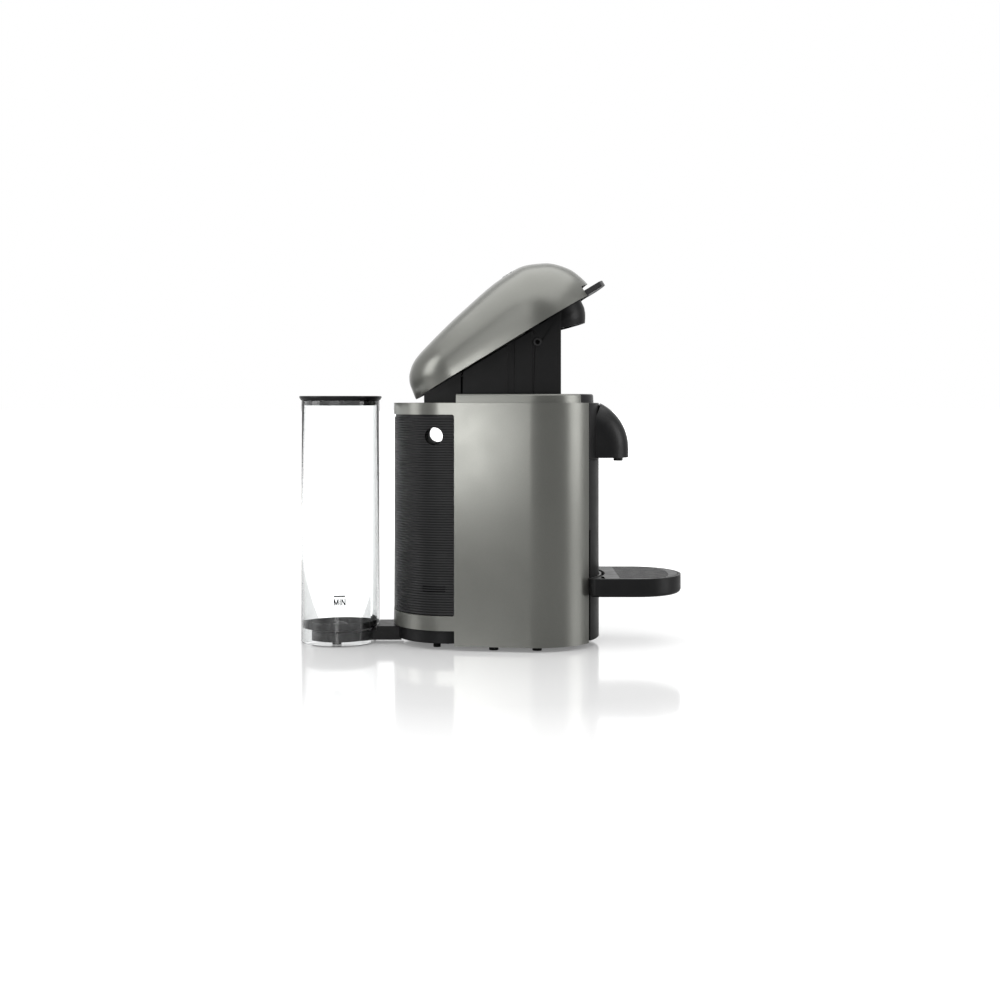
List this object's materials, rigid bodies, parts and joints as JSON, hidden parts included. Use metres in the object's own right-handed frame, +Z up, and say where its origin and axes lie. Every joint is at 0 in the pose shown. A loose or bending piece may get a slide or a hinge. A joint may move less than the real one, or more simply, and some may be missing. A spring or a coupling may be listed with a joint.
{
  "type": "pod coffee machine",
  "caption": "Upright pod coffee machine with a motorised lifting head, swing-round clear water tank, capsule bin and sliding cup support.",
  "frame": {"origin": "on the surface the machine stands on, midway between the back of the tank lid and the front of the cup support, in the left-right mid plane", "axes": "+X to the front, where the coffee comes out, +Z up, +Y to the machine's left as seen from behind"},
  "size_m": [0.4206, 0.142, 0.4157],
  "materials": {
    "grey_paint": "satin metallic grey paint over moulded plastic",
    "black_plastic": "fine-grained black moulding",
    "dark_plastic": "satin near-black moulding",
    "inner_plastic": "plain moulding",
    "clear_plastic": "clear polished plastic",
    "aluminium": "turned",
    "steel": "brushed",
    "bright_metal": "polished",
    "circuit": "lacquered board",
    "rubber": "matt"
  },
  "bodies": {
    "body": {"left_shell": "grey_paint", "right_shell": "grey_paint", "rear_cover": "black_plastic", "top_deck": "black_plastic", "collar_trim": "grey_paint", "front_housing": "dark_plastic", "base_plate": "black_plastic", "rear_base": "black_plastic", "ring_keeper": "black_plastic", "chassis": "inner_plastic", "rear_guide": "black_plastic", "through_sleeve": "black_plastic", "spout_cover": "dark_plastic", "spout_nozzle": "black_plastic", "coffee_duct": "black_plastic", "chamber_housing": "aluminium", "spindle_bearings": "steel", "spin_motor": "steel", "drive_belt": "rubber", "lift_motor": "steel", "guide_rods": "steel", "water_pump": "steel", "thermoblock": "aluminium", "flow_meter": "inner_plastic", "water_hoses": "rubber", "control_board": "circuit", "cord_gland": "inner_plastic", "feet": "rubber", "base_screws": "steel"},
    "riser": {"riser_frame": "black_plastic", "lift_rack": "inner_plastic", "hinge_pins": "steel", "riser_caps": "steel"},
    "head": {"head_shell": "grey_paint", "head_frame": "black_plastic", "brew_nose": "black_plastic", "injection_plate": "steel", "head_seal": "rubber", "button_bezel": "bright_metal", "button_switch": "circuit", "lever_pin": "steel"},
    "lever": {"open_lever": "dark_plastic"},
    "button": {"brew_button": "bright_metal"},
    "cup": {"capsule_cup": "aluminium", "spindle": "steel", "cup_pulley": "steel"},
    "rotor": {"motor_pulley": "steel"},
    "pinion": {"lift_pinion": "inner_plastic"},
    "bin": {"capsule_bin": "black_plastic", "bin_front": "dark_plastic"},
    "support": {"cup_support": "dark_plastic", "drip_grid": "dark_plastic"},
    "arm": {"swing_ring": "black_plastic", "tank_arm": "black_plastic", "arm_foot": "rubber"},
    "tank": {"water_tank": "clear_plastic"},
    "lid": {"tank_lid": "black_plastic", "lid_seal": "rubber"},
    "valve": {"tank_valve": "inner_plastic"}
  },
  "joints": [
    {"name": "riser_lift", "type": "slide", "parent": "body", "child": "riser", "axis": [0, 0, 1], "range_m": [-0.0795, 0]},
    {"name": "head_tilt", "type": "hinge", "parent": "riser", "child": "head", "pos_m": [0.0445, 0, 0.3478], "axis": [0, 1, 0], "range_deg": [0, 31]},
    {"name": "pinion_spin", "type": "hinge", "parent": "body", "child": "pinion", "pos_m": [-0.0217, 0, 0.2], "axis": [0, 1, 0], "range_deg": [0, 434]},
    {"name": "lever_tip", "type": "hinge", "parent": "head", "child": "lever", "pos_m": [0.09891, 0, 0.38831], "axis": [0, 1, 0], "range_deg": [-8, 5], "stiffness_Nm_per_rad": 0.4},
    {"name": "button_press", "type": "slide", "parent": "head", "child": "button", "axis": [0.515, 0, -0.8572], "range_m": [0, 0.0012], "stiffness_N_per_m": 600},
    {"name": "cup_spin", "type": "hinge", "parent": "body", "child": "cup", "pos_m": [0.075, 0, 0.2], "axis": [0, 0, 1], "continuous": true},
    {"name": "motor_spin", "type": "hinge", "parent": "body", "child": "rotor", "pos_m": [0.005, 0, 0.14], "axis": [0, 0, 1], "continuous": true},
    {"name": "bin_slide", "type": "slide", "parent": "body", "child": "bin", "axis": [1, 0, 0], "range_m": [0, 0.12]},
    {"name": "support_slide", "type": "slide", "parent": "bin", "child": "support", "axis": [0, 0, 1], "range_m": [-0.048, 0.06]},
    {"name": "arm_swing", "type": "hinge", "parent": "body", "child": "arm", "pos_m": [-0.046, 0, 0.0137], "axis": [0, 0, 1], "range_deg": [-75, 75]},
    {"name": "tank_lift", "type": "slide", "parent": "arm", "child": "tank", "axis": [0, 0, 1], "range_m": [0, 0.04]},
    {"name": "lid_lift", "type": "slide", "parent": "tank", "child": "lid", "axis": [0, 0, 1], "range_m": [0, 0.03]},
    {"name": "valve_press", "type": "slide", "parent": "tank", "child": "valve", "axis": [0, 0, 1], "range_m": [0, 0.003], "stiffness_N_per_m": 300}
  ],
  "couplings": [
    {"joint": "head_tilt", "follows": "riser_lift", "rad_per_m": -6.805},
    {"joint": "pinion_spin", "follows": "riser_lift", "rad_per_m": -95.238},
    {"joint": "motor_spin", "follows": "cup_spin", "ratio": 2}
  ]
}
